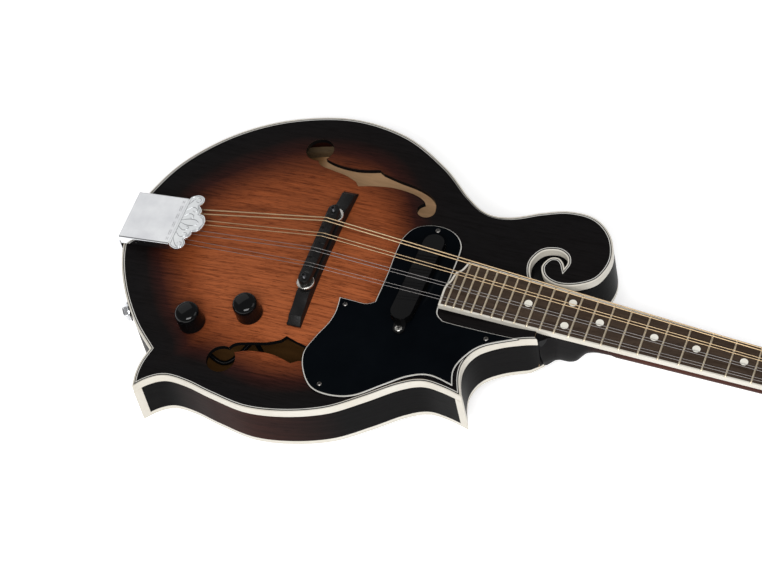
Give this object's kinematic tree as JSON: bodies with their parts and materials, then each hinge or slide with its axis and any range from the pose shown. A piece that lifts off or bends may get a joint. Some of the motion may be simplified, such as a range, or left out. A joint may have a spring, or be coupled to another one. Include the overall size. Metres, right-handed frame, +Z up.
{
  "type": "mandolin",
  "caption": "Mandolin with a scroll, body points, an arched sunburst top, f-holes, a pickup with controls, pickguard, adjustable bridge and geared tuners.",
  "frame": {"origin": "middle of the small flat on the arched back that the instrument lies on", "axes": "+X to the headstock, +Y to the bass strings and the scroll, +Z up out of the top; the instrument lies on its back with the end of the headstock touching the same floor"},
  "size_m": [0.6639, 0.2573, 0.0813],
  "materials": {
    "soundboard": "satin, sunburst from amber brown to black at the edge",
    "body_wood": "satin, very dark red-brown, black towards the points",
    "neck_wood": "satin, very dark red-brown, black at the heel",
    "inner_wood": "bare",
    "cream_binding": "satin cream",
    "fretboard_wood": "oiled, open-pored",
    "ebony": "dull black",
    "black_lacquer": "gloss black",
    "black_plastic": "gloss black",
    "white_plastic": "satin white",
    "pearl": "polished",
    "bone": "polished",
    "chrome": "polished",
    "nickel": "satin",
    "bronze_winding": "wound",
    "steel": "drawn"
  },
  "bodies": {
    "body": {"back_binding": "cream_binding", "back_lining": "inner_wood", "back_plate": "body_wood", "bridge_base": "ebony", "bridge_stud_bass": "nickel", "bridge_stud_treble": "nickel", "fretboard": "fretboard_wood", "fretboard_binding": "cream_binding", "headstock_veneer": "black_lacquer", "jack_washer": "chrome", "neck": "neck_wood", "neck_block": "inner_wood", "nut": "bone", "output_jack": "chrome", "pickguard": "black_plastic", "pickup": "black_plastic", "rim_sides": "body_wood", "string_a1": "steel", "string_a2": "steel", "string_d1": "bronze_winding", "string_d2": "bronze_winding", "string_e1": "steel", "string_e2": "steel", "string_g1": "bronze_winding", "string_g2": "bronze_winding", "tail_block": "inner_wood", "tailpiece_base": "chrome", "tone_bar_bass": "inner_wood", "tone_bar_treble": "inner_wood", "tone_pot": "nickel", "top_binding": "cream_binding", "top_lining": "inner_wood", "top_plate": "soundboard", "truss_rod": "steel", "truss_rod_cover": "black_plastic", "tuner_plate_bass": "nickel", "tuner_plate_treble": "nickel", "volume_pot": "nickel"},
    "tailpiece_cover": {"tailpiece_cover": "chrome"},
    "saddle": {"bridge_saddle": "ebony"},
    "wheel_bass": {"thumbwheel_bass": "nickel"},
    "wheel_treble": {"thumbwheel_treble": "nickel"},
    "volume": {"volume_knob": "black_plastic"},
    "tone": {"tone_knob": "black_plastic"},
    "tuner_shaft_bass_1": {"tuner_shaft_bass_1": "nickel"},
    "tuner_post_bass_1": {"tuner_post_bass_1": "nickel"},
    "tuner_shaft_bass_2": {"tuner_shaft_bass_2": "nickel"},
    "tuner_post_bass_2": {"tuner_post_bass_2": "nickel"},
    "tuner_shaft_bass_3": {"tuner_shaft_bass_3": "nickel"},
    "tuner_post_bass_3": {"tuner_post_bass_3": "nickel"},
    "tuner_shaft_bass_4": {"tuner_shaft_bass_4": "nickel"},
    "tuner_post_bass_4": {"tuner_post_bass_4": "nickel"},
    "tuner_shaft_treble_1": {"tuner_shaft_treble_1": "nickel"},
    "tuner_post_treble_1": {"tuner_post_treble_1": "nickel"},
    "tuner_shaft_treble_2": {"tuner_shaft_treble_2": "nickel"},
    "tuner_post_treble_2": {"tuner_post_treble_2": "nickel"},
    "tuner_shaft_treble_3": {"tuner_shaft_treble_3": "nickel"},
    "tuner_post_treble_3": {"tuner_post_treble_3": "nickel"},
    "tuner_shaft_treble_4": {"tuner_shaft_treble_4": "nickel"},
    "tuner_post_treble_4": {"tuner_post_treble_4": "nickel"}
  },
  "joints": [
    {"name": "saddle_height", "type": "slide", "parent": "body", "child": "saddle", "axis": [-0.0749, 0, 0.9972], "range_m": [-0.0008, 0.0016], "deforming": ["string_a1", "string_a2", "string_d1", "string_d2", "string_e1", "string_e2", "string_g1", "string_g2"]},
    {"name": "thumbwheel_bass_turn", "type": "hinge", "parent": "saddle", "child": "wheel_bass", "pos_m": [0.02988, 0.0295, 0.07219], "axis": [-0.0749, 0, 0.9972], "range_deg": [-360, 720]},
    {"name": "thumbwheel_treble_turn", "type": "hinge", "parent": "saddle", "child": "wheel_treble", "pos_m": [0.02988, -0.0295, 0.07219], "axis": [-0.0749, 0, 0.9972], "range_deg": [-360, 720]},
    {"name": "tailpiece_cover_slide", "type": "slide", "parent": "body", "child": "tailpiece_cover", "axis": [-0.9839, 0, -0.1788], "range_m": [0, 0.045]},
    {"name": "volume_turn", "type": "hinge", "parent": "body", "child": "volume", "pos_m": [-0.04117, -0.071, 0.0501], "axis": [-0.1306, -0.0772, 0.9884], "range_deg": [-150, 150]},
    {"name": "tone_turn", "type": "hinge", "parent": "body", "child": "tone", "pos_m": [-0.00305, -0.056, 0.0567], "axis": [-0.1183, -0.1187, 0.9859], "range_deg": [-150, 150]},
    {"name": "button_bass_1_turn", "type": "hinge", "parent": "body", "child": "tuner_shaft_bass_1", "pos_m": [0.41683, 0.0155, 0.03122], "axis": [0, 1, 0], "continuous": true},
    {"name": "post_bass_1_turn", "type": "hinge", "parent": "body", "child": "tuner_post_bass_1", "pos_m": [0.41499, 0.0155, 0.05184], "axis": [0.2778, 0, 0.9606], "continuous": true},
    {"name": "button_bass_2_turn", "type": "hinge", "parent": "body", "child": "tuner_shaft_bass_2", "pos_m": [0.43892, 0.0155, 0.02483], "axis": [0, 1, 0], "continuous": true},
    {"name": "post_bass_2_turn", "type": "hinge", "parent": "body", "child": "tuner_post_bass_2", "pos_m": [0.43708, 0.0155, 0.04545], "axis": [0.2778, 0, 0.9606], "continuous": true},
    {"name": "button_bass_3_turn", "type": "hinge", "parent": "body", "child": "tuner_shaft_bass_3", "pos_m": [0.46102, 0.0155, 0.01844], "axis": [0, 1, 0], "continuous": true},
    {"name": "post_bass_3_turn", "type": "hinge", "parent": "body", "child": "tuner_post_bass_3", "pos_m": [0.45918, 0.0155, 0.03906], "axis": [0.2778, 0, 0.9606], "continuous": true},
    {"name": "button_bass_4_turn", "type": "hinge", "parent": "body", "child": "tuner_shaft_bass_4", "pos_m": [0.48311, 0.0155, 0.01205], "axis": [0, 1, 0], "continuous": true},
    {"name": "post_bass_4_turn", "type": "hinge", "parent": "body", "child": "tuner_post_bass_4", "pos_m": [0.48127, 0.0155, 0.03267], "axis": [0.2778, 0, 0.9606], "continuous": true},
    {"name": "button_treble_1_turn", "type": "hinge", "parent": "body", "child": "tuner_shaft_treble_1", "pos_m": [0.41683, -0.0155, 0.03122], "axis": [0, -1, 0], "continuous": true},
    {"name": "post_treble_1_turn", "type": "hinge", "parent": "body", "child": "tuner_post_treble_1", "pos_m": [0.41499, -0.0155, 0.05184], "axis": [0.2778, 0, 0.9606], "continuous": true},
    {"name": "button_treble_2_turn", "type": "hinge", "parent": "body", "child": "tuner_shaft_treble_2", "pos_m": [0.43892, -0.0155, 0.02483], "axis": [0, -1, 0], "continuous": true},
    {"name": "post_treble_2_turn", "type": "hinge", "parent": "body", "child": "tuner_post_treble_2", "pos_m": [0.43708, -0.0155, 0.04545], "axis": [0.2778, 0, 0.9606], "continuous": true},
    {"name": "button_treble_3_turn", "type": "hinge", "parent": "body", "child": "tuner_shaft_treble_3", "pos_m": [0.46102, -0.0155, 0.01844], "axis": [0, -1, 0], "continuous": true},
    {"name": "post_treble_3_turn", "type": "hinge", "parent": "body", "child": "tuner_post_treble_3", "pos_m": [0.45918, -0.0155, 0.03906], "axis": [0.2778, 0, 0.9606], "continuous": true},
    {"name": "button_treble_4_turn", "type": "hinge", "parent": "body", "child": "tuner_shaft_treble_4", "pos_m": [0.48311, -0.0155, 0.01205], "axis": [0, -1, 0], "continuous": true},
    {"name": "post_treble_4_turn", "type": "hinge", "parent": "body", "child": "tuner_post_treble_4", "pos_m": [0.48127, -0.0155, 0.03267], "axis": [0.2778, 0, 0.9606], "continuous": true}
  ],
  "couplings": [
    {"joint": "thumbwheel_bass_turn", "follows": "saddle_height", "rad_per_m": 7854},
    {"joint": "thumbwheel_treble_turn", "follows": "saddle_height", "rad_per_m": 7854},
    {"joint": "post_bass_1_turn", "follows": "button_bass_1_turn", "ratio": 0.0625},
    {"joint": "post_bass_2_turn", "follows": "button_bass_2_turn", "ratio": 0.0625},
    {"joint": "post_bass_3_turn", "follows": "button_bass_3_turn", "ratio": 0.0625},
    {"joint": "post_bass_4_turn", "follows": "button_bass_4_turn", "ratio": 0.0625},
    {"joint": "post_treble_1_turn", "follows": "button_treble_1_turn", "ratio": 0.0625},
    {"joint": "post_treble_2_turn", "follows": "button_treble_2_turn", "ratio": 0.0625},
    {"joint": "post_treble_3_turn", "follows": "button_treble_3_turn", "ratio": 0.0625},
    {"joint": "post_treble_4_turn", "follows": "button_treble_4_turn", "ratio": 0.0625}
  ]
}
